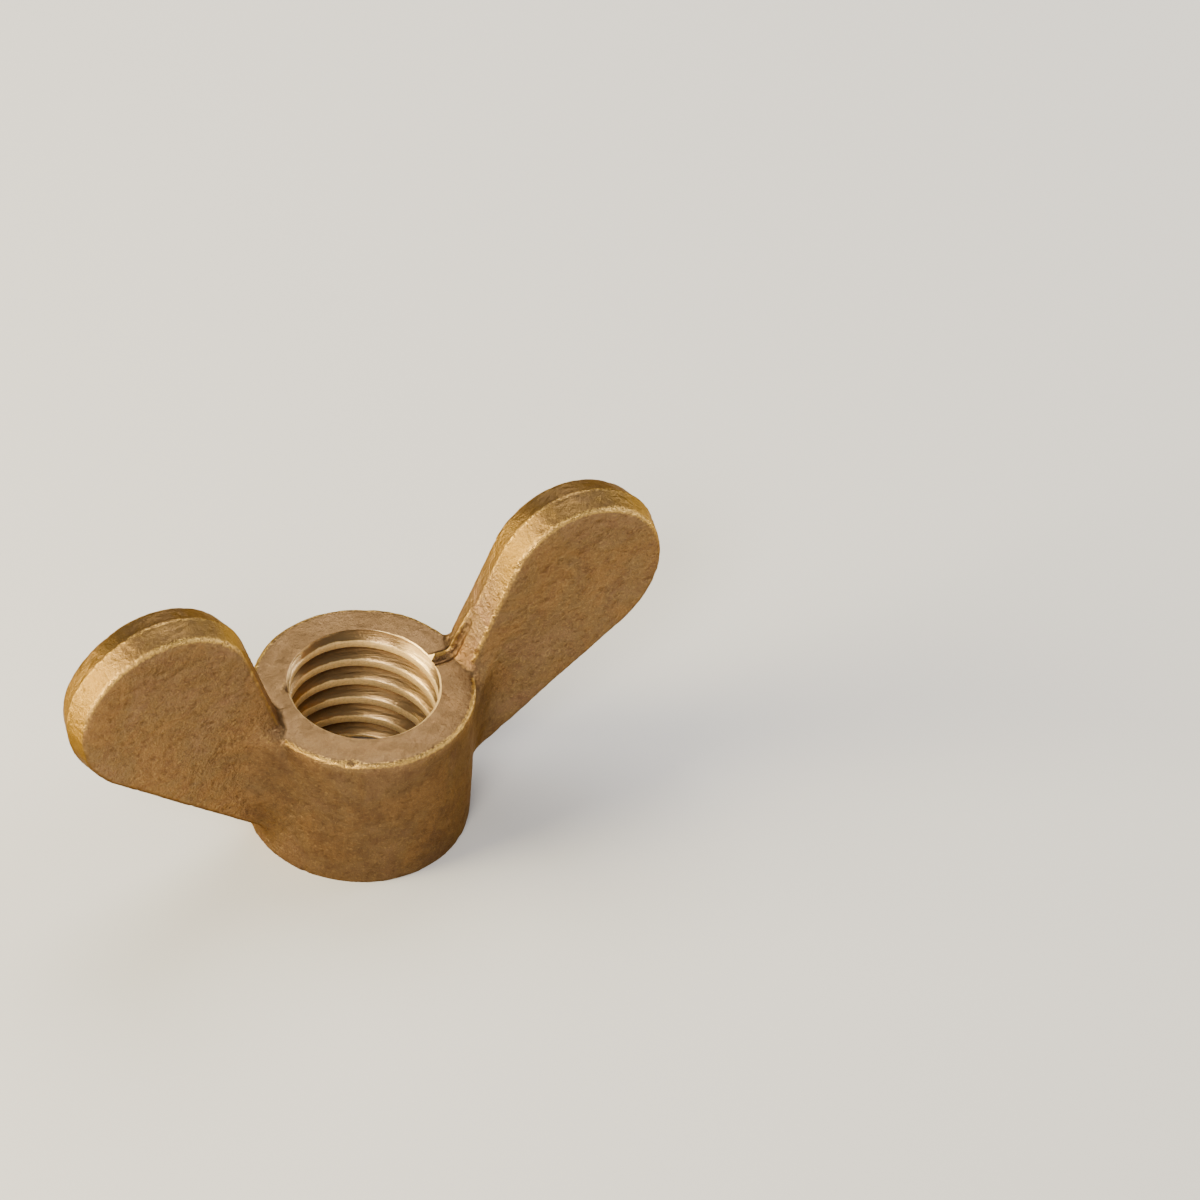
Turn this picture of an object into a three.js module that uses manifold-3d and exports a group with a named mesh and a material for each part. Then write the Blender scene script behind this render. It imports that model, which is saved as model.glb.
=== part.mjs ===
// A cast brass wing nut: a slightly conical hub with a threaded bore, and two flat rounded wings
// cast on its sides. Millimetres, +Z up, origin at the centre of the bearing face under the hub,
// wings along X. The casting is split where the wings meet the hub wall, so that each is a solid
// of its own.

import * as THREE from 'three';
import { mergeVertices } from 'three/addons/utils/BufferGeometryUtils.js';
import Module from 'manifold-3d';

const wasm = await Module();
wasm.setup();

// Thread, 1/2 inch with 13 turns to the inch and 60 degree flanks.
const MAJOR_RADIUS = 12.7 / 2;
const PITCH = 25.4 / 13;
const MINOR_RADIUS = 5.36; // the tapping drill's radius
const ROOT_FLAT = PITCH / 8;
const FLANK_ANGLE = Math.PI / 6;
const THREAD_START = -1.2 * PITCH; // height of the groove's middle at the helix's first point

// Hub.
const HUB_HEIGHT = 12.05;
const HUB_TOP_RADIUS = 8.0;
const HUB_BASE_RADIUS = 8.3;
const TOP_EDGE_ROUND = 0.4;
const BASE_EDGE_CHAMFER = 0.2;
const TOP_CHAMFER_RADIUS = 5.52;
const BASE_CHAMFER_RADIUS = 6.45;
const HUB_SIDES = 80;
const BORE_SIDES = 40;

// Wings. The flat faces have this outline, and the ridge at mid thickness stands further out.
const WING_THICKNESS = 3.7;
const RIDGE_RISE = 0.45;
const RIDGE_LAND = 0.2;
const TIP_X = 16.1;
const TIP_Z = 17.3;
const TIP_RADIUS = 6.8;
const SHOULDER_RADIUS = 5.6;
const TOP_ROOT = new THREE.Vector2(7.5, 11.9);
const LOW_ROOT = new THREE.Vector2(8.0, 2.75);
const ROOT_FILLET = 2.5;
const SEAM = 0.02; // gap between each wing and the hub wall
const ARC_STEPS = 20;

const OVERLAP = 1; // how far a cutter runs past what it cuts, and an outline into what it joins

const brass = new THREE.MeshStandardMaterial({ color: 0x9a7440, roughness: 0.5, metalness: 1.0 });
const turnedBrass = new THREE.MeshStandardMaterial({ color: 0xb08a52, roughness: 0.4, metalness: 1.0 });

// A closed three.js geometry as a manifold solid.
function solidOf(geometry) {
  const bare = geometry.clone();
  bare.deleteAttribute('normal');
  bare.deleteAttribute('uv');
  const merged = mergeVertices(bare, 1e-5);
  return new wasm.Manifold(new wasm.Mesh({
    numProp: 3,
    vertProperties: new Float32Array(merged.attributes.position.array),
    triVerts: new Uint32Array(merged.index.array),
  }));
}

// A manifold solid as a named three.js mesh.
function meshOf(name, solid, material) {
  const { vertProperties, triVerts } = solid.getMesh();
  const geometry = new THREE.BufferGeometry();
  geometry.setAttribute('position', new THREE.BufferAttribute(new Float32Array(vertProperties), 3));
  geometry.setIndex(new THREE.BufferAttribute(new Uint32Array(triVerts), 1));
  geometry.computeVertexNormals();
  const mesh = new THREE.Mesh(geometry, material);
  mesh.name = name;
  return mesh;
}

// A profile of [radius, height] points turned about the Z axis.
function turned(profile, sides) {
  const points = profile.map(([radius, height]) => new THREE.Vector2(radius, height));
  return new THREE.LatheGeometry(points, sides).rotateX(Math.PI / 2);
}

// The hub's outside, with no bore, drawn `grow` larger all round.
function hubBlank(grow = 0) {
  const corner = HUB_TOP_RADIUS - TOP_EDGE_ROUND;
  const shoulder = HUB_HEIGHT - TOP_EDGE_ROUND;
  const profile = [
    [0, -grow],
    [HUB_BASE_RADIUS - BASE_EDGE_CHAMFER + grow, -grow],
    [HUB_BASE_RADIUS + grow, BASE_EDGE_CHAMFER],
  ];
  const roundSteps = 4;
  for (let i = 0; i <= roundSteps; i += 1) {
    const angle = (i / roundSteps) * (Math.PI / 2);
    profile.push([
      corner + (TOP_EDGE_ROUND + grow) * Math.cos(angle),
      shoulder + (TOP_EDGE_ROUND + grow) * Math.sin(angle),
    ]);
  }
  profile.push([0, HUB_HEIGHT + grow]);
  return solidOf(turned(profile, HUB_SIDES));
}

// The drilled hole with a chamfer at each mouth, as the solid that it removes.
function drilledHole() {
  const topDepth = TOP_CHAMFER_RADIUS - MINOR_RADIUS;
  const baseDepth = BASE_CHAMFER_RADIUS - MINOR_RADIUS;
  return solidOf(turned([
    [0, -OVERLAP],
    [BASE_CHAMFER_RADIUS + OVERLAP, -OVERLAP],
    [MINOR_RADIUS, baseDepth],
    [MINOR_RADIUS, HUB_HEIGHT - topDepth],
    [TOP_CHAMFER_RADIUS + OVERLAP, HUB_HEIGHT + OVERLAP],
    [0, HUB_HEIGHT + OVERLAP],
  ], BORE_SIDES));
}

// The helix that the tap's cutting edge follows, with a frame that stays square to the axis.
class Helix extends THREE.Curve {
  constructor(radius, pitch, start, turns) {
    super();
    this.radius = radius;
    this.pitch = pitch;
    this.start = start;
    this.turns = turns;
  }

  getPoint(t, target = new THREE.Vector3()) {
    const angle = t * this.turns * Math.PI * 2;
    return target.set(
      this.radius * Math.cos(angle),
      this.radius * Math.sin(angle),
      this.start + t * this.turns * this.pitch,
    );
  }

  computeFrenetFrames(segments) {
    const frames = { tangents: [], normals: [], binormals: [] };
    for (let i = 0; i <= segments; i += 1) {
      const angle = (i / segments) * this.turns * Math.PI * 2;
      frames.tangents.push(new THREE.Vector3(-Math.sin(angle), Math.cos(angle), 0));
      frames.normals.push(new THREE.Vector3(Math.cos(angle), Math.sin(angle), 0));
      frames.binormals.push(new THREE.Vector3(0, 0, -1));
    }
    return frames;
  }
}

// The thread's groove, as the solid that the tap removes.
function threadGroove() {
  const inside = MINOR_RADIUS - ROOT_FLAT;
  const depth = MAJOR_RADIUS - inside;
  const mouth = ROOT_FLAT / 2 + depth * Math.tan(FLANK_ANGLE);
  const section = new THREE.Shape();
  section.moveTo(0, -mouth);
  section.lineTo(depth, -ROOT_FLAT / 2);
  section.lineTo(depth, ROOT_FLAT / 2);
  section.lineTo(0, mouth);
  section.closePath();
  const turns = Math.ceil(HUB_HEIGHT / PITCH) + 2;
  const helix = new Helix(inside, PITCH, THREAD_START, turns);
  return solidOf(new THREE.ExtrudeGeometry(section, {
    steps: turns * BORE_SIDES,
    bevelEnabled: false,
    extrudePath: helix,
  }));
}

function hub() {
  return hubBlank().subtract(drilledHole()).subtract(threadGroove());
}

// Where a line from `point` touches a circle, as the angle of that spot on the circle.
function tangentAngle(point, centreX, centreZ, radius, side) {
  const dx = centreX - point.x;
  const dz = centreZ - point.y;
  const lean = Math.asin(radius / Math.hypot(dx, dz));
  return Math.atan2(dz, dx) + side * (lean + Math.PI / 2);
}

// One wing's outline in the XZ plane: straight up from the hub's rim, round the shoulder and the
// tip, and straight back to the foot of the hub. It runs on into the hub.
function wingOutline() {
  const shoulderZ = TIP_Z + TIP_RADIUS - SHOULDER_RADIUS;
  const leave = tangentAngle(TOP_ROOT, TIP_X, shoulderZ, SHOULDER_RADIUS, 1);
  const arrive = tangentAngle(LOW_ROOT, TIP_X, TIP_Z, TIP_RADIUS, -1);
  const outline = new THREE.Shape();
  outline.moveTo(LOW_ROOT.x - 2 * OVERLAP, LOW_ROOT.y - OVERLAP);
  outline.lineTo(LOW_ROOT.x, LOW_ROOT.y);
  outline.absarc(TIP_X, TIP_Z, TIP_RADIUS, arrive, Math.PI / 2, false);
  outline.absarc(TIP_X, shoulderZ, SHOULDER_RADIUS, Math.PI / 2, leave, false);
  outline.lineTo(TOP_ROOT.x, TOP_ROOT.y);
  outline.lineTo(TOP_ROOT.x - OVERLAP, TOP_ROOT.y - OVERLAP);
  outline.closePath();
  return outline;
}

// The wing as a plate with two long bevels that meet in a ridge at mid thickness.
function wingPlate() {
  const halfBevel = (WING_THICKNESS - RIDGE_LAND) / 2;
  const plate = new THREE.ExtrudeGeometry(wingOutline(), {
    depth: RIDGE_LAND,
    bevelThickness: halfBevel,
    bevelSize: RIDGE_RISE,
    bevelSegments: 1,
    curveSegments: ARC_STEPS,
  });
  return solidOf(plate.translate(0, 0, -RIDGE_LAND / 2).rotateX(Math.PI / 2));
}

// The fillets on both faces of a wing, where it grows out of the hub's wall, up to the hub's rim.
function rootFillets() {
  const half = WING_THICKNESS / 2;
  const centreY = half + ROOT_FILLET;
  const centreX = Math.sqrt((HUB_TOP_RADIUS + ROOT_FILLET) ** 2 - centreY ** 2);
  const hubEnd = Math.atan2(centreY, -centreX);
  const plan = new THREE.Shape();
  plan.moveTo(centreX, -half);
  plan.lineTo(centreX, half);
  plan.absarc(centreX, centreY, ROOT_FILLET, -Math.PI / 2, -hubEnd, true);
  plan.lineTo(MINOR_RADIUS, 0);
  plan.absarc(centreX, -centreY, ROOT_FILLET, hubEnd, Math.PI / 2, true);
  plan.closePath();
  const upright = solidOf(new THREE.ExtrudeGeometry(plan, {
    depth: HUB_HEIGHT - TOP_EDGE_ROUND,
    bevelEnabled: false,
    curveSegments: ARC_STEPS,
  }));
  const sideways = new THREE.ExtrudeGeometry(wingOutline(), {
    depth: 2 * centreY,
    bevelEnabled: false,
    curveSegments: ARC_STEPS,
  });
  return upright.intersect(solidOf(sideways.translate(0, 0, -centreY).rotateX(Math.PI / 2)));
}

// A wing on the +X side, cut to the hub's wall.
function wing() {
  return wingPlate().add(rootFillets()).subtract(hubBlank(SEAM));
}

const rightWing = meshOf('right_wing', wing(), brass);
const leftWing = meshOf('left_wing', wing(), brass);
leftWing.rotation.z = Math.PI;

const wingNut = new THREE.Group();
wingNut.add(meshOf('hub', hub(), turnedBrass), leftWing, rightWing);

export default wingNut;
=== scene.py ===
# A cast brass wing nut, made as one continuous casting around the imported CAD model.
# The casting is a signed-distance shape in millimetres, meshed in code, roughened like a cast skin,
# and then faced, countersunk and tapped with cutters, as a real casting is machined.

import math

import bpy
import numpy as np
from mathutils import Matrix, Vector, noise


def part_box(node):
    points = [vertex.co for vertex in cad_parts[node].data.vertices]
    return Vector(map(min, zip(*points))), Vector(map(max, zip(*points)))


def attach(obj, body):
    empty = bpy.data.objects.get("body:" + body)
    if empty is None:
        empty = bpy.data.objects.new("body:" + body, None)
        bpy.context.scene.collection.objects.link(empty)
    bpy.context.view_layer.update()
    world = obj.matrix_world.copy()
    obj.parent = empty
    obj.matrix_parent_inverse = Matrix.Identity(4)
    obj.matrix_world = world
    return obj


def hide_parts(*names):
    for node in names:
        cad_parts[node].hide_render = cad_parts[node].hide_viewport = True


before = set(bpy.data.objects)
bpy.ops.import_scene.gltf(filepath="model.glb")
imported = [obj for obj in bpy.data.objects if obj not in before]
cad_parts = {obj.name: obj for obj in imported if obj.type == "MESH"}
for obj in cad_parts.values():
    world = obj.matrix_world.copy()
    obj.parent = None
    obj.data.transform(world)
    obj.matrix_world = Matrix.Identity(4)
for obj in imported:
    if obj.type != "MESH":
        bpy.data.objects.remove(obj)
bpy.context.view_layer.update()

MM = 0.001

# Sizes in millimetres. The outer sizes come from the frame. The rest are close to the CAD's, with the
# unevenness of a real casting: its left and right differ a little, and its faces are dished.

# The hub: it narrows upwards, its axis stands a little off the bore's, and its top is crowned.
HUB_LOW, HUB_HIGH = (np.array(corner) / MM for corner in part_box("hub"))
HUB_HEIGHT = HUB_HIGH[2]
HUB_BASE_RADIUS = HUB_HIGH[0]
HUB_TAPER = 0.2
HUB_TOP_RADIUS = HUB_BASE_RADIUS - HUB_TAPER
HUB_OFFSET = (-0.14, -0.08)
TOP_EDGE_ROUND = 0.3
TOP_CROWN = 0.12
FOOT_EDGE_ROUND = 0.35
FOOT_ALLOWANCE = 0.2

# The wings: the roots are the (x, z) points where their straight edges reach the hub.
WING_HIGH = np.array(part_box("right_wing")[1]) / MM
RIDGE_RISE = 0.45
HALF_WING = 1.85
TIP_RADIUS = 6.8
LEFT_SHOULDER = 6.0
RIGHT_SHOULDER = 5.6
TIP_X = WING_HIGH[0] - RIDGE_RISE - TIP_RADIUS
TIP_Z = WING_HIGH[2] - RIDGE_RISE - TIP_RADIUS
TOP_ROOT = (7.5, 11.9)
LEFT_LOW_ROOT = (8.0, 1.9)
RIGHT_LOW_ROOT = (8.0, 2.75)
WING_EDGE_ROUND = 0.32
RIDGE_SOFTNESS = 0.08
WING_DISH = 0.24
ROOT_FILLET = 2.5
EDGE_FILLET = 0.5

# The bore: a 1/2 inch thread that fades out between two heights, measured from the hub's top, and
# the place where its rim is torn, which carries a painted glint.
MAJOR_RADIUS = 6.35
MINOR_RADIUS = 5.36
PITCH = 25.4 / 13
THREAD_START = -1.7 * PITCH
THREAD_FADE = (-1.0, 0.5)
THREAD_EASE = 0.05
FLANK_ANGLE = 30
TOP_CHAMFER_RADIUS = 5.62
BASE_CHAMFER_RADIUS = 6.45
TORN_GLINT_PATCH = (5.2, 1.9, 11.4)

# Small damage: (place, radius) of round bites out of the skin.
NICKS = [
    ((-5.2, 1.8, 12.3), 0.5),
    ((-4.6, -7.0, 12.6), 0.9),
    ((3.9, 7.5, 12.7), 1.0),
    ((21.6, -2.4, 22.8), 0.8),
    ((-19.4, 0.6, 25.2), 0.8),
]
NICK_ROUND = 0.15

# The flash where the mould halves met: (height, place in Y, width) of its strips, and the windows
# in X and in Z that hold the torn part.
MOULD_LINE = (0.05, 0.0, 0.14)
TORN_LIP = (0.34, 0.42, 0.2)
TORN_CREASE = (0.26, -0.02, 0.26)
TEAR_X = (4.0, 5.6, 12.0, 14.0)
TEAR_Z = (11.0, 11.8, 13.4, 17.0)

# How finely things are made: the casting's grid, the cutters' sides, how far a cutter runs past what
# it cuts, and the angle in degrees from which an edge is drawn sharp.
CELL = 0.18
TURNED_SIDES = 160
TAP_SIDES = 180
PAST = 2.0
SHARP_ANGLE = 32


# ---------------------------------------------------------------- distances, in millimetres

def soft_union(a, b, fillet):
    """The union of two distances, with a fillet of this radius in the corner between them."""
    u = np.maximum(fillet - a, 0)
    v = np.maximum(fillet - b, 0)
    return np.maximum(fillet, np.minimum(a, b)) - np.hypot(u, v)


def soft_common(a, b, round_over):
    """What two distances have in common, with its edge rounded to this radius."""
    u = np.maximum(round_over + a, 0)
    v = np.maximum(round_over + b, 0)
    return np.minimum(-round_over, np.maximum(a, b)) + np.hypot(u, v)


def smooth_step(low, high, value):
    """Zero at low, one at high, and smooth between them. High may be the smaller of the two."""
    t = np.clip((value - low) / (high - low), 0, 1)
    return t * t * (3 - 2 * t)


def tangent_angle(point, centre, radius, side):
    """Where a line from a point touches a circle, as the angle of that spot on the circle."""
    dx = centre[0] - point[0]
    dz = centre[1] - point[1]
    lean = math.asin(radius / math.hypot(dx, dz))
    return math.atan2(dz, dx) + side * (lean + math.pi / 2)


def wing_outline(x, z, shoulder_radius, low_root):
    """Distance in the XZ plane to one wing's outline: two straight edges and two arcs."""
    shoulder_z = TIP_Z + TIP_RADIUS - shoulder_radius
    upper = tangent_angle(TOP_ROOT, (TIP_X, shoulder_z), shoulder_radius, 1)
    lower = tangent_angle(low_root, (TIP_X, TIP_Z), TIP_RADIUS, -1)
    dx = x - TIP_X
    to_upper = dx * math.cos(upper) + (z - shoulder_z) * math.sin(upper) - shoulder_radius
    to_lower = dx * math.cos(lower) + (z - TIP_Z) * math.sin(lower) - TIP_RADIUS
    edges = np.maximum(to_upper, to_lower)
    tip = np.hypot(dx, z - TIP_Z) - TIP_RADIUS
    shoulder = np.hypot(dx, z - shoulder_z) - shoulder_radius
    past_upper = -dx * math.sin(upper) + (z - shoulder_z) * math.cos(upper) < 0
    past_lower = -dx * math.sin(lower) + (z - TIP_Z) * math.cos(lower) > 0
    in_shoulder = (dx < 0) & past_upper & (z > TIP_Z)
    in_tip = (dx >= 0) & past_lower
    return np.where(in_tip, tip, np.where(in_shoulder, shoulder, edges))


def wing(y, outline):
    """A wing: two flat faces, slightly dished, and two long bevels that meet in a ridge."""
    across = np.hypot(y, RIDGE_SOFTNESS) - RIDGE_SOFTNESS
    dish = WING_DISH * smooth_step(0.5, 5.0, -outline)
    face = np.abs(y) - HALF_WING + dish
    slope = math.atan2(RIDGE_RISE, HALF_WING)
    bevel = (outline - RIDGE_RISE * (1 - across / HALF_WING)) * math.cos(slope)
    return soft_common(face, bevel, WING_EDGE_ROUND)


def strip(y, size):
    """A strip of metal along X. Its size is its height, its place in Y and its width."""
    height, middle, width = size
    return height * np.exp(-((y - middle) / width) ** 2)


def window(value, span):
    """One between the middle two of a span's four numbers, fading to zero at the outer two."""
    start, full, wane, end = span
    return smooth_step(start, full, value) * smooth_step(end, wane, value)


def flash(x, y, z):
    """How far metal stands up where the mould halves met: a faint line all round, and a torn lip
    with a crease beside it from the bore to the foot of the right wing."""
    tear = strip(y, TORN_LIP) - strip(y, TORN_CREASE)
    return strip(y, MOULD_LINE) + tear * window(x, TEAR_X) * window(z, TEAR_Z)


def root_fillet(outline, z):
    """The fillet between wing and hub: wide on the faces, narrow at the wing's top and low edges."""
    at_top = smooth_step(-1.5, 0.3, outline) * smooth_step(8.0, 11.0, z)
    at_foot = smooth_step(-3.0, 0.3, outline) * smooth_step(9.0, 4.5, z)
    return ROOT_FILLET + (EDGE_FILLET - ROOT_FILLET) * np.maximum(at_top, 0.8 * at_foot)


def casting(x, y, z):
    """The whole casting before machining, a little long at the foot."""
    radius = np.hypot(x - HUB_OFFSET[0], y - HUB_OFFSET[1])
    taper = HUB_BASE_RADIUS + (HUB_TOP_RADIUS - HUB_BASE_RADIUS) * z / HUB_HEIGHT
    wall = radius - taper
    crown = TOP_CROWN * (radius / HUB_TOP_RADIUS) ** 4
    top = z - HUB_HEIGHT + crown
    foot = -FOOT_ALLOWANCE - z
    left = wing_outline(-x, z, LEFT_SHOULDER, LEFT_LOW_ROOT)
    right = wing_outline(x, z, RIGHT_SHOULDER, RIGHT_LOW_ROOT)
    outline = np.where(x < 0, left, right)
    blade = wing(y, outline)
    hub = soft_common(wall, top, TOP_EDGE_ROUND)
    body = soft_union(hub, blade, root_fillet(outline, z)) - flash(x, y, z)
    for place, size in NICKS:
        gap = np.sqrt((x - place[0]) ** 2 + (y - place[1]) ** 2 + (z - place[2]) ** 2)
        body = soft_common(body, size - gap, NICK_ROUND)
    return soft_common(body, foot, FOOT_EDGE_ROUND)


# ---------------------------------------------------------------- meshing

CELL_CORNERS = [(i, j, k) for i in (0, 1) for j in (0, 1) for k in (0, 1)]


def crossed_cells(field, inside):
    """The cells that the surface passes through, and the mean of where it crosses their edges."""
    count = np.zeros(tuple(n - 1 for n in field.shape), np.int8)
    for i, j, k in CELL_CORNERS:
        count += inside[i:i + count.shape[0], j:j + count.shape[1], k:k + count.shape[2]]
    cells = np.argwhere((count > 0) & (count < len(CELL_CORNERS)))
    values = {c: field[tuple((cells + c).T)] for c in CELL_CORNERS}
    edges = [(start, axis) for start in CELL_CORNERS for axis in range(3) if not start[axis]]
    total = np.zeros((len(cells), 3))
    hits = np.zeros(len(cells))
    for start, axis in edges:
        end = tuple(start[a] + (a == axis) for a in range(3))
        a, b = values[start], values[end]
        crossed = (a < 0) != (b < 0)
        share = np.where(crossed, a / np.where(crossed, a - b, 1), 0)
        spot = np.array(start) + share[:, None] * (np.arange(3) == axis)
        total += spot * crossed[:, None]
        hits += crossed
    return cells, cells + total / hits[:, None]


def net_quads(inside, index, axis):
    """One quad round each grid edge along this axis that the surface crosses."""
    first = np.moveaxis(inside, axis, 0)[:-1]
    second = np.moveaxis(inside, axis, 0)[1:]
    edges = np.argwhere(np.moveaxis(first != second, 0, axis))
    outward = np.moveaxis(first, 0, axis)[tuple(edges.T)]
    step_u = np.eye(3, dtype=int)[(axis + 1) % 3]
    step_v = np.eye(3, dtype=int)[(axis + 2) % 3]
    ring = [edges - step_u - step_v, edges - step_v, edges, edges - step_u]
    quads = np.stack([index[tuple(r.T)] for r in ring], 1)
    quads[~outward] = quads[~outward][:, ::-1]
    return quads


def surface_net(field, low, cell):
    """The quads round where a sampled distance changes sign: vertices (n, 3) and faces (m, 4)."""
    inside = field < 0
    cells, places = crossed_cells(field, inside)
    index = np.full(tuple(n - 1 for n in field.shape), -1, np.int64)
    index[tuple(cells.T)] = np.arange(len(cells))
    faces = [net_quads(inside, index, axis) for axis in range(3)]
    return low + places * cell, np.concatenate(faces)


def gradient(shape, points):
    """The direction in which a distance grows, by central differences."""
    step = 0.01
    slopes = []
    for axis in range(3):
        offset = np.eye(3)[axis] * step
        ahead = shape(*(points + offset).T)
        behind = shape(*(points - offset).T)
        slopes.append((ahead - behind) / (2 * step))
    return np.stack(slopes, 1)


def settle(shape, points, rounds=3):
    """Points moved onto the surface where a distance is zero, and the surface's normals there."""
    least_slope = 0.5
    for _ in range(rounds):
        slope = gradient(shape, points)
        squared = np.maximum((slope ** 2).sum(1), least_slope ** 2)
        points = points - slope * (shape(*points.T) / squared)[:, None]
    slope = gradient(shape, points)
    return points, slope / np.linalg.norm(slope, axis=1)[:, None]


def mesh_object(name, vertices, faces):
    """A mesh object from millimetre vertices."""
    mesh = bpy.data.meshes.new(name)
    mesh.from_pydata((np.asarray(vertices) * MM).tolist(), [], [list(f) for f in faces])
    mesh.validate()
    obj = bpy.data.objects.new(name, mesh)
    bpy.context.scene.collection.objects.link(obj)
    return obj


def unevenness(point, convex):
    """How far the cast skin stands off its drawn surface, in millimetres. Edges are nibbled more."""
    swell = noise.noise(point * 0.22 + Vector((3.1, 0, 0))) * 0.07
    ripple = noise.noise(point * 0.9 + Vector((0, 7.7, 0))) * 0.022
    grain = noise.noise(point * 2.4) * 0.016
    pit = max(noise.noise(point * 1.5 + Vector((0, 0, 5.3))) - 0.38, 0) * -0.16
    nibble = (noise.noise(point * 1.9 + Vector((9.2, 0, 0))) - 0.25) * 0.025 * convex
    return swell + ripple + grain + pit + nibble


def convexity(points):
    """How much the casting bends away at each point: above zero on edges, below in hollows."""
    step = 0.35
    total = -6 * casting(*points.T)
    for axis in range(3):
        offset = np.eye(3)[axis] * step
        total += casting(*(points + offset).T) + casting(*(points - offset).T)
    return np.clip(total / step, -1, 1)


def cast_blank():
    """The rough casting as a closed mesh with the unevenness of a sand-cast skin."""
    margin = 3 * CELL
    low = np.array([-WING_HIGH[0], HUB_LOW[1], -FOOT_ALLOWANCE]) - margin
    high = np.array([WING_HIGH[0], HUB_HIGH[1], WING_HIGH[2]]) + margin
    axes = [np.arange(low[a], high[a] + CELL, CELL, dtype=np.float32) for a in range(3)]
    field = casting(*np.meshgrid(*axes, indexing="ij"))
    vertices, faces = surface_net(field, low, CELL)
    vertices, normals = settle(casting, vertices)
    convex = np.maximum(convexity(vertices), 0)
    lift = np.array([unevenness(Vector(p), c) for p, c in zip(vertices, convex)])
    return mesh_object("casting_blank", vertices + normals * lift[:, None], faces)


# ---------------------------------------------------------------- cutters

def turned_cutter(name, profile):
    """A closed cutter turned about the Z axis from (radius, height) points, the ends on the axis."""
    vertices = [(0, 0, profile[0][1])]
    for radius, height in profile[1:-1]:
        for i in range(TURNED_SIDES):
            angle = 2 * math.pi * i / TURNED_SIDES
            vertices.append((radius * math.cos(angle), radius * math.sin(angle), height))
    vertices.append((0, 0, profile[-1][1]))
    last = len(vertices) - 1
    rings = len(profile) - 2
    faces = []
    for i in range(TURNED_SIDES):
        j = (i + 1) % TURNED_SIDES
        faces.append((0, 1 + j, 1 + i))
        for ring in range(rings - 1):
            a = 1 + ring * TURNED_SIDES
            faces.append((a + i, a + j, a + TURNED_SIDES + j, a + TURNED_SIDES + i))
        top = 1 + (rings - 1) * TURNED_SIDES
        faces.append((top + i, top + j, last))
    return mesh_object(name, vertices, faces)


def thread_profile():
    """One pitch of the thread: (height, radius) from crest to crest, edges slightly eased."""
    root_half = PITCH / 16
    flank = (MAJOR_RADIUS - MINOR_RADIUS) * math.tan(math.radians(FLANK_ANGLE))
    ease = THREAD_EASE
    crest_half = PITCH / 2 - root_half - flank
    middle = PITCH / 2
    half = [
        (0.0, MINOR_RADIUS),
        (crest_half - ease, MINOR_RADIUS),
        (crest_half + ease * 0.5, MINOR_RADIUS + ease * 0.9),
        (crest_half + flank * 0.5, (MINOR_RADIUS + MAJOR_RADIUS) / 2),
        (crest_half + flank - ease * 0.5, MAJOR_RADIUS - ease * 0.9),
        (middle - root_half + ease, MAJOR_RADIUS),
    ]
    mirrored = [(PITCH - height, radius) for height, radius in reversed(half[1:])]
    return half + mirrored


def tap_vertices(profile, turns):
    """Rows of points that follow the helix, each row one step further along the profile."""
    rows = len(profile)
    vertices = []
    for row in range(rows * turns + 1):
        height, radius = profile[row % rows]
        base = height + PITCH * (row // rows) + THREAD_START
        for i in range(TAP_SIDES):
            angle = 2 * math.pi * i / TAP_SIDES
            z = base + PITCH * i / TAP_SIDES
            cut_share = smooth_step(HUB_HEIGHT + THREAD_FADE[1], HUB_HEIGHT + THREAD_FADE[0], z)
            out = MINOR_RADIUS + (radius - MINOR_RADIUS) * cut_share
            vertices.append((out * math.cos(angle), out * math.sin(angle), z))
    return vertices


def tap_faces(rows, turns, low_tip, high_tip):
    """Quads between the rows, and triangles that close each end round its tip."""
    def at(row, i):
        """The vertex on a row, where a full turn lands one pitch of rows higher."""
        return (row + rows * (i // TAP_SIDES)) * TAP_SIDES + i % TAP_SIDES

    last = rows * (turns - 1)
    faces = []
    for row in range(last):
        for i in range(TAP_SIDES):
            faces.append((at(row, i), at(row, i + 1), at(row + 1, i + 1), at(row + 1, i)))
    for start, tip, turn in ((0, low_tip, -1), (last, high_tip, 1)):
        seam = [at(start + row, 0) for row in range(rows, 0, -1)]
        loop = [at(start, i) for i in range(TAP_SIDES)] + seam
        for a, b in zip(loop, loop[1:] + loop[:1]):
            faces.append((a, b, tip)[::turn])
    return faces


def tap_cutter():
    """What the drill and the tap take away: a threaded rod, past both ends of the hub."""
    profile = thread_profile()
    turns = math.ceil(HUB_HEIGHT / PITCH) + 2
    vertices = tap_vertices(profile, turns)
    low_tip = len(vertices)
    vertices.append((0, 0, -4 * PITCH))
    vertices.append((0, 0, (turns + 2) * PITCH))
    faces = tap_faces(len(profile), turns, low_tip, low_tip + 1)
    used = sorted({v for face in faces for v in face})
    renumber = {old: new for new, old in enumerate(used)}
    faces = [tuple(renumber[v] for v in face) for face in faces]
    return mesh_object("tap", [vertices[v] for v in used], faces)


def cut(piece, cutter, material):
    """Takes a cutter out of a piece and gives the cut faces its material, or fails if they miss."""
    cutter.data.materials.append(material)
    before = len(piece.data.vertices)
    step = piece.modifiers.new("cut", "BOOLEAN")
    step.operation = "DIFFERENCE"
    step.solver = "MANIFOLD"
    step.material_mode = "TRANSFER"
    step.object = cutter
    bpy.context.view_layer.objects.active = piece
    bpy.ops.object.modifier_apply(modifier=step.name)
    if len(piece.data.vertices) == before:
        raise RuntimeError("Nothing was cut by " + cutter.name)
    bpy.data.objects.remove(cutter)
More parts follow.
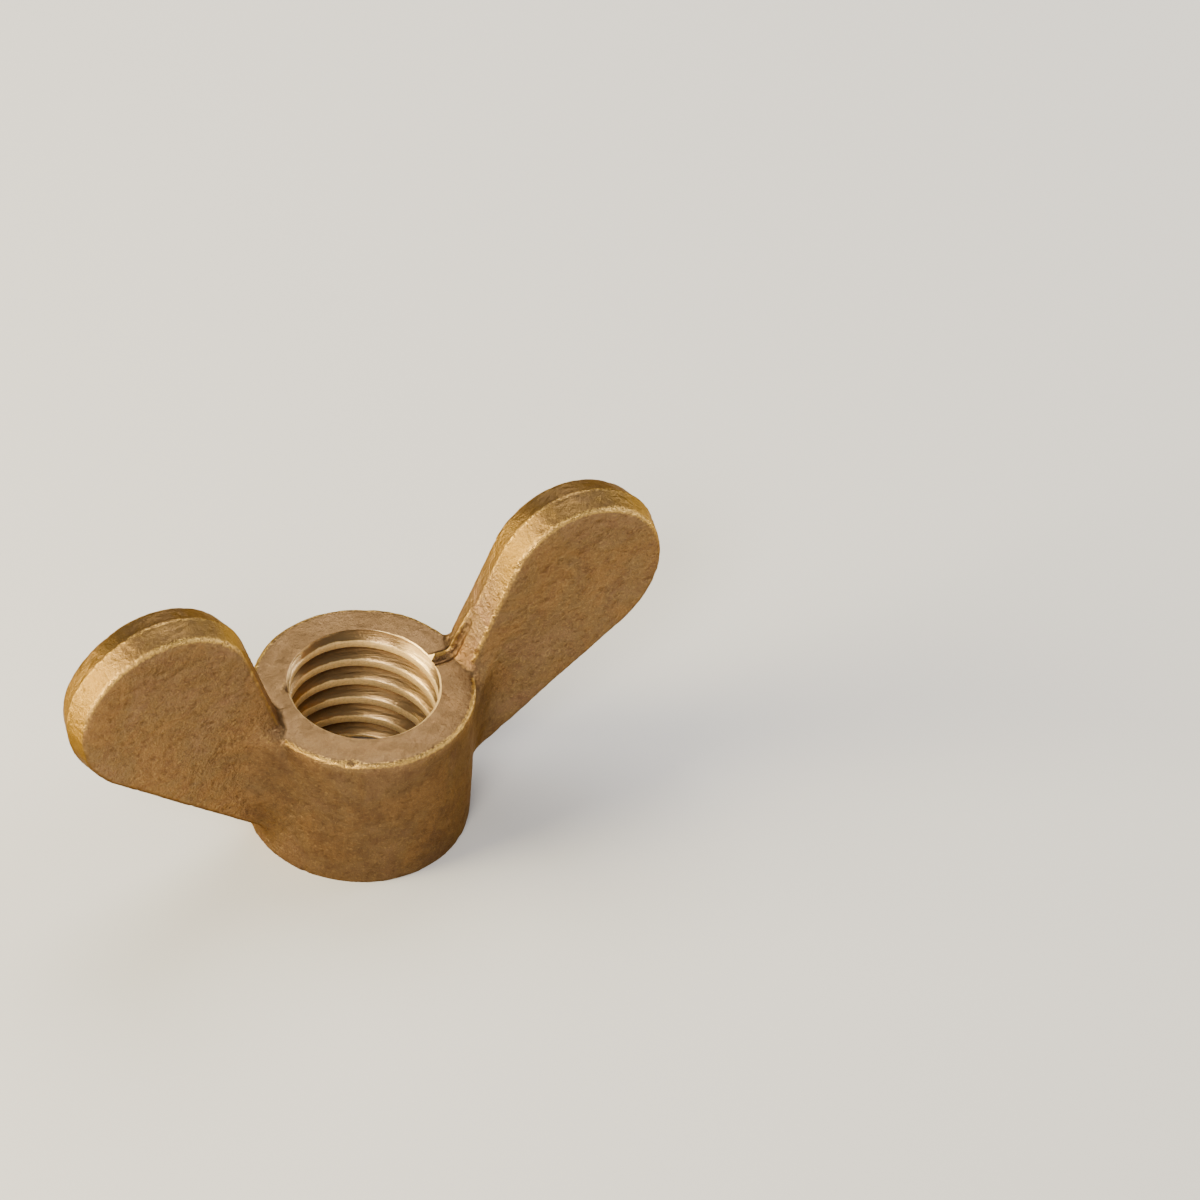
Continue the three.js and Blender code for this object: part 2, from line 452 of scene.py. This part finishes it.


# ---------------------------------------------------------------- materials

# Colours of the brass, from its patina to bare metal, as linear values; some paint highlights and
# shade, as marked below.
OLIVE = (0.220, 0.140, 0.064)
OCHRE = (0.270, 0.152, 0.064)
UMBER = (0.185, 0.098, 0.052)
PINK = (0.30, 0.165, 0.095)
PITS = (0.09, 0.046, 0.022)
SPECKS = (0.43, 0.27, 0.11)
# Golden bevels: partly real wear from fingers, partly a painted highlight that is stronger in front.
RUBBED_GOLD_AND_HIGHLIGHT = (0.31, 0.174, 0.026)
# Painted shade on up-facing surfaces, patchy with the mottle.
PAINTED_TOP_SHADE = (0.138, 0.082, 0.036)
# Painted shade on the hub's wall below its top and on down-facing surfaces.
PAINTED_SHADE = (0.070, 0.040, 0.022)
HOLLOWS = (0.06, 0.032, 0.016)
# Golden edges facing up: partly real wear, partly a painted highlight.
WORN_AND_HIGHLIGHT = (0.66, 0.40, 0.10)
# The thread: painted shade on flanks and roots, and a painted highlight on crests.
PAINTED_FLANK_SHADE = (0.25, 0.155, 0.065)
PAINTED_CREST_HIGHLIGHT = (0.91, 0.62, 0.25)
PAINTED_ROOT_SHADE = (0.12, 0.06, 0.02)
TAP_STAIN = (0.3, 0.17, 0.07)
FACED = (0.86, 0.62, 0.34)
FACED_STAIN = (0.62, 0.38, 0.15)
TOOL_MARK = (0.45, 0.26, 0.1)
SPOT = (0.2, 0.1, 0.04)
GRAZING_TINT = (0.55, 0.42, 0.30)


class Surface:
    """A node material. Each call adds a node, wires its inputs and gives back its output."""

    def __init__(self, name, metallic):
        self.material = bpy.data.materials.new(name)
        self.material.use_nodes = True
        self.tree = self.material.node_tree
        self.shader = self.tree.nodes["Principled BSDF"]
        self.shader.inputs["Metallic"].default_value = metallic
        place = self.node("TexCoord", {}, output="Object")
        self.place = self.node("VectorMath", {0: place, "Scale": 1 / MM}, operation="SCALE")

    def node(self, kind, inputs, output=0, **settings):
        """A node of this kind with these inputs and settings: gives back one of its outputs."""
        made = self.tree.nodes.new("ShaderNode" + kind)
        for key, value in settings.items():
            setattr(made, key, value)
        for key, value in inputs.items():
            self.feed(made.inputs[key], value)
        return made.outputs[output]

    def feed(self, socket, value):
        """Wires another node's output into a socket, or sets the socket to a constant."""
        if isinstance(value, bpy.types.NodeSocket):
            self.tree.links.new(value, socket)
        else:
            socket.default_value = value

    def math(self, operation, *values):
        return self.node("Math", dict(enumerate(values)), operation=operation)

    def along(self, vector, axis):
        """A vector's part along one axis."""
        return self.node("SeparateXYZ", {"Vector": vector}, output=axis)

    def stretched(self, factors):
        """The place with each axis multiplied by its own factor."""
        return self.node("VectorMath", {0: self.place, 1: factors}, operation="MULTIPLY")

    def axis_radius(self):
        """Distance from the bore's axis in millimetres."""
        flat = self.stretched((1, 1, 0))
        return self.node("VectorMath", {0: flat}, output="Value", operation="LENGTH")

    def noise(self, scale, detail=3.0, roughness=0.55, place=None, distortion=0.0):
        """Noise between 0 and 1, with this many cells to the millimetre."""
        return self.node("TexNoise", {
            "Vector": place or self.place,
            "Scale": scale,
            "Detail": detail,
            "Roughness": roughness,
            "Distortion": distortion,
        })

    def ramp(self, value, low, high, least=0.0, most=1.0):
        """A value spread smoothly from low..high onto least..most."""
        return self.node("MapRange", {
            "Value": value,
            "From Min": low,
            "From Max": high,
            "To Min": least,
            "To Max": most,
        }, interpolation_type="SMOOTHSTEP")

    def mix(self, share, a, b):
        """Colour a with a share of colour b laid over it. Sockets 6 and 7 are the node's colours."""
        a = a if isinstance(a, bpy.types.NodeSocket) else (*a, 1)
        return self.node("Mix", {0: share, 6: a, 7: (*b, 1)}, output=2, data_type="RGBA")

    def finish(self, colour, roughness, height, depth):
        """Connects the colour, the roughness and a bump, whose depth is in millimetres."""
        self.feed(self.shader.inputs["Base Color"], colour)
        self.feed(self.shader.inputs["Roughness"], roughness)
        bump = self.node("Bump", {"Height": height, "Distance": depth * MM, "Strength": 1.0})
        self.feed(self.shader.inputs["Normal"], bump)
        return self.material


def patina(s, skin, grain, mottle):
    """The cast skin's colour: mottled olive, ochre and umber, with pink patches, dark pits and
    light specks."""
    patches = s.noise(0.2, detail=4, roughness=0.6, distortion=0.6)
    colour = s.mix(s.ramp(patches, 0.42, 0.60), OLIVE, OCHRE)
    colour = s.mix(s.ramp(mottle, 0.46, 0.68, most=0.6), colour, UMBER)
    colour = s.mix(s.ramp(patches, 0.50, 0.36, most=0.35), colour, PINK)
    colour = s.mix(s.ramp(skin, 0.48, 0.34, most=0.5), colour, PITS)
    return s.mix(s.ramp(grain, 0.52, 0.70, most=0.55), colour, SPECKS)


def wear_and_painted_light(s, colour, facing, upward, mottle):
    """The colour on the wings' bevels and on top: golden bevels, partly real wear from fingers and
    partly a painted highlight, stronger in front; and painted shade on up-facing surfaces."""
    on_bevel = s.ramp(s.math("ABSOLUTE", facing), 0.7, 0.4)
    past_hub = s.ramp(s.axis_radius(), HUB_BASE_RADIUS + 0.7, HUB_BASE_RADIUS + 2.7)
    bevel = s.math("MULTIPLY", on_bevel, past_hub)
    # Golden bevels, more so on front-facing ones: partly real wear, partly a painted highlight.
    rubbed_and_highlit = s.math("MULTIPLY", bevel, s.ramp(facing, 0.25, -0.25, 0.50, 0.75))
    colour = s.mix(rubbed_and_highlit, colour, RUBBED_GOLD_AND_HIGHLIGHT)
    # Painted shade on up-facing surfaces, patchy with the mottle.
    painted_top_shade = s.math("MULTIPLY", s.ramp(upward, 0.55, 0.95), s.ramp(mottle, 0.40, 0.62, 0.70, 0.95))
    return s.mix(painted_top_shade, colour, PAINTED_TOP_SHADE)


def cast_brass():
    """Old sand-cast brass: a mottled patina; golden on the wings' bevels and on up-facing edges,
    partly wear and partly painted highlight; painted shade on top, on the hub's wall and below;
    darker in hollows."""
    s = Surface("cast_brass", metallic=1.0)
    s.shader.inputs["Specular Tint"].default_value = (*GRAZING_TINT, 1)
    edge = s.node("Attribute", {}, output="Fac", attribute_name="convexity")
    normal = s.node("TexCoord", {}, output="Normal")
    facing, upward = s.along(normal, "Y"), s.along(normal, "Z")
    skin = s.noise(2.1, detail=6, roughness=0.66)
    grain = s.noise(5.0, detail=3, roughness=0.6)
    mottle = s.noise(0.7, detail=6, roughness=0.65, distortion=0.5)
    colour = patina(s, skin, grain, mottle)
    colour = wear_and_painted_light(s, colour, facing, upward, mottle)

    near_hub = s.ramp(s.axis_radius(), HUB_BASE_RADIUS + 3.2, HUB_BASE_RADIUS + 0.5)
    below_top = s.ramp(s.along(s.place, "Z"), HUB_HEIGHT - 0.15, HUB_HEIGHT - 1.45)
    on_wall = s.math("MULTIPLY", near_hub, below_top)
    # Painted shade on the hub's wall below its top, patchy with the mottle, and on down-facing
    # surfaces.
    painted_wall_shade = s.math("MULTIPLY", on_wall, s.ramp(mottle, 0.3, 0.7, 0.40, 0.60))
    painted_underside_shade = s.ramp(upward, 0.05, -0.5, most=0.8)
    colour = s.mix(s.math("MAXIMUM", painted_wall_shade, painted_underside_shade), colour, PAINTED_SHADE)
    colour = s.mix(s.ramp(edge, -0.25, -0.8, most=0.5), colour, HOLLOWS)
    # Golden convex edges, only where they face up: partly real wear, partly a painted highlight.
    rough_edge = s.math("ADD", edge, s.ramp(grain, 0.35, 0.65, -0.28, 0.28))
    worn_and_highlit = s.math("MULTIPLY", s.ramp(rough_edge, 0.4, 1.1), s.ramp(upward, 0.0, 0.4))
    colour = s.mix(s.math("MULTIPLY", worn_and_highlit, 0.8), colour, WORN_AND_HIGHLIGHT)

    roughness = s.ramp(mottle, 0.3, 0.7, 0.31, 0.42)
    roughness = s.math("SUBTRACT", roughness, s.math("MULTIPLY", worn_and_highlit, 0.06))
    roughness = s.math("ADD", roughness, s.math("MULTIPLY", on_wall, 0.14))
    relief = s.math("ADD", s.math("SUBTRACT", skin, 0.5), s.math("MULTIPLY", grain, 0.35))
    relief = s.math("MULTIPLY", relief, s.ramp(upward, 0.6, 0.98, 1.0, 0.5))
    relief = s.math("MULTIPLY", relief, s.ramp(on_wall, 0.0, 1.0, 1.0, 0.6))
    return s.finish(colour, roughness, relief, depth=0.16)


def tapped_brass():
    """The thread: a painted highlight on crests, top edge and one patch of wall, painted shade on
    flanks and roots, with fine stains and tap marks.
    """
    s = Surface("tapped_brass", metallic=1.0)
    stain = s.noise(0.7, detail=4, roughness=0.6)
    fine = s.noise(5.0, detail=3, roughness=0.6)
    marks = s.noise(1.0, detail=3, roughness=0.6, place=s.stretched((0.5, 0.5, 9.0)))
    depth = s.math("ADD", s.axis_radius(), s.ramp(stain, 0.3, 0.7, -0.05, 0.05))
    ragged = s.math("ADD", s.along(s.place, "Z"), s.math("MULTIPLY", stain, 0.6))
    # A painted highlight along the bore's top edge.
    rim = s.ramp(ragged, HUB_HEIGHT - 0.25, HUB_HEIGHT + 0.05)
    # Torn metal near the bore's top, with a painted glint on it.
    torn = s.node("VectorMath", {0: s.place, 1: TORN_GLINT_PATCH}, output="Value", operation="DISTANCE")
    torn = s.ramp(s.math("ADD", torn, s.math("MULTIPLY", stain, 1.2)), 2.6, 1.6)
    inner = s.ramp(depth, MINOR_RADIUS + 0.15, MINOR_RADIUS + 0.05)
    # Where the highlight is painted: on the crests, along the bore's top edge and on one patch of its
    # wall.
    crest = s.math("MAXIMUM", inner, s.math("MAXIMUM", rim, torn))
    # The brass is less metallic where the highlight is painted, so that it takes diffuse light.
    s.feed(s.shader.inputs["Metallic"], s.ramp(crest, 0.0, 1.0, 1.0, 0.3))
    colour = s.mix(crest, PAINTED_FLANK_SHADE, PAINTED_CREST_HIGHLIGHT)
    # Painted shade in the thread's roots.
    colour = s.mix(s.ramp(depth, MAJOR_RADIUS - 0.55, MAJOR_RADIUS - 0.05), colour, PAINTED_ROOT_SHADE)
    colour = s.mix(s.ramp(fine, 0.55, 0.35, most=0.25), colour, TAP_STAIN)
    roughness = s.ramp(depth, MINOR_RADIUS + 0.04, MAJOR_RADIUS - 0.15, 0.28, 0.5)
    relief = s.math("ADD", marks, s.math("MULTIPLY", fine, 0.5))
    return s.finish(colour, roughness, relief, depth=0.04)


def turned_brass():
    """Freshly faced brass: bright, with rings left by the tool."""
    s = Surface("turned_brass", metallic=1.0)
    rings = s.node("CombineXYZ", {"X": s.axis_radius()})
    marks = s.noise(7.0, detail=2, roughness=0.7, place=rings)
    stain = s.noise(0.5, detail=4, roughness=0.6)
    fine = s.noise(5.0, detail=3)
    colour = s.mix(s.ramp(stain, 0.45, 0.7), FACED, FACED_STAIN)
    colour = s.mix(s.ramp(marks, 0.5, 0.3, most=0.4), colour, TOOL_MARK)
    colour = s.mix(s.ramp(fine, 0.7, 0.8, most=0.6), colour, SPOT)
    roughness = s.ramp(stain, 0.3, 0.7, 0.26, 0.4)
    relief = s.math("ADD", marks, s.math("MULTIPLY", fine, 0.3))
    return s.finish(colour, roughness, relief, depth=0.03)


# ---------------------------------------------------------------- the wing nut

def machine(piece):
    """Faces the foot, taps the bore and countersinks both its ends, each cut run past the piece."""
    turned = turned_brass()
    thread = tapped_brass()
    wide = HUB_BASE_RADIUS + PAST
    cut(piece, turned_cutter("facing", [(0, -PAST), (wide, -PAST), (wide, 0), (0, 0)]), turned)
    cut(piece, tap_cutter(), thread)
    cut(piece, turned_cutter("top_countersink", [
        (0, HUB_HEIGHT - TOP_CHAMFER_RADIUS),
        (TOP_CHAMFER_RADIUS + PAST, HUB_HEIGHT + PAST),
        (0, HUB_HEIGHT + PAST),
    ]), thread)
    cut(piece, turned_cutter("base_countersink", [
        (0, -PAST),
        (BASE_CHAMFER_RADIUS + PAST, -PAST),
        (0, BASE_CHAMFER_RADIUS),
    ]), turned)


def wing_nut():
    """The finished wing nut, one piece in place of all the CAD solids."""
    piece = cast_blank()
    piece.name = "wing_nut_casting"
    piece.data.materials.append(cast_brass())
    machine(piece)
    for polygon in piece.data.polygons:
        polygon.use_smooth = True
    piece.data.set_sharp_from_angle(angle=math.radians(SHARP_ANGLE))
    places = np.array([v.co for v in piece.data.vertices]) / MM
    attribute = piece.data.attributes.new("convexity", "FLOAT", "POINT")
    attribute.data.foreach_set("value", convexity(places))
    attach(piece, "root")
    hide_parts("hub", "left_wing", "right_wing")


# ---------------------------------------------------------------- stage

def floor():
    """A plain pale floor."""
    bpy.ops.mesh.primitive_plane_add(size=3)
    ground = bpy.context.object
    ground.name = "floor"
    material = bpy.data.materials.new("floor_paper")
    material.use_nodes = True
    shader = material.node_tree.nodes["Principled BSDF"]
    shader.inputs["Base Color"].default_value = (0.66, 0.65, 0.64, 1)
    shader.inputs["Roughness"].default_value = 0.9
    ground.data.materials.append(material)


def soft_light(name, place, size, power, colour=(1, 1, 1)):
    """A round area light, with its place and size in metres, turned to face the nut."""
    data = bpy.data.lights.new(name, "AREA")
    data.shape = "DISK"
    data.size = size
    data.energy = power
    data.color = colour
    lamp = bpy.data.objects.new(name, data)
    bpy.context.scene.collection.objects.link(lamp)
    lamp.location = place
    lamp.rotation_euler = (Vector((0, 0, 0.01)) - Vector(place)).to_track_quat("-Z", "Y").to_euler()


def lights():
    """A dim even world, a warm low light from the left and three weaker ones."""
    world = bpy.data.worlds.new("studio")
    bpy.context.scene.world = world
    world.use_nodes = True
    world.node_tree.nodes["Background"].inputs["Color"].default_value = (0.95, 0.97, 1, 1)
    world.node_tree.nodes["Background"].inputs["Strength"].default_value = 0.42
    soft_light("left_box", (-0.36, 0.08, 0.15), 0.24, 5.5, (1, 0.87, 0.55))
    soft_light("front_box", (-0.25, -0.25, 0.35), 0.16, 1.6, (1, 0.92, 0.80))
    soft_light("back_box", (0.12, 0.22, 0.34), 0.3, 1.4, (1, 0.95, 0.88))
    soft_light("right_card", (0.40, -0.02, 0.12), 0.2, 1.0)


def camera():
    """A long lens at the photograph's viewing angle, aimed past the nut, which stands to the left."""
    data = bpy.data.cameras.new("camera")
    data.sensor_width = 36
    data.lens = 150
    view = bpy.data.objects.new("camera", data)
    bpy.context.scene.collection.objects.link(view)
    bpy.context.scene.camera = view
    azimuth, elevation, roll = (math.radians(angle) for angle in (-32.16, 43.85, 5.54))
    distance = 368.5
    aim = Vector((19.64, 0.64, HUB_HEIGHT))
    toward = Vector((
        math.sin(azimuth) * math.cos(elevation),
        -math.cos(azimuth) * math.cos(elevation),
        math.sin(elevation),
    ))
    level = (-toward).to_track_quat("-Z", "Y").to_matrix().to_4x4()
    place = Matrix.Translation((aim + toward * distance) * MM)
    view.matrix_world = place @ level @ Matrix.Rotation(roll, 4, "Z")


floor()
lights()
camera()
wing_nut()
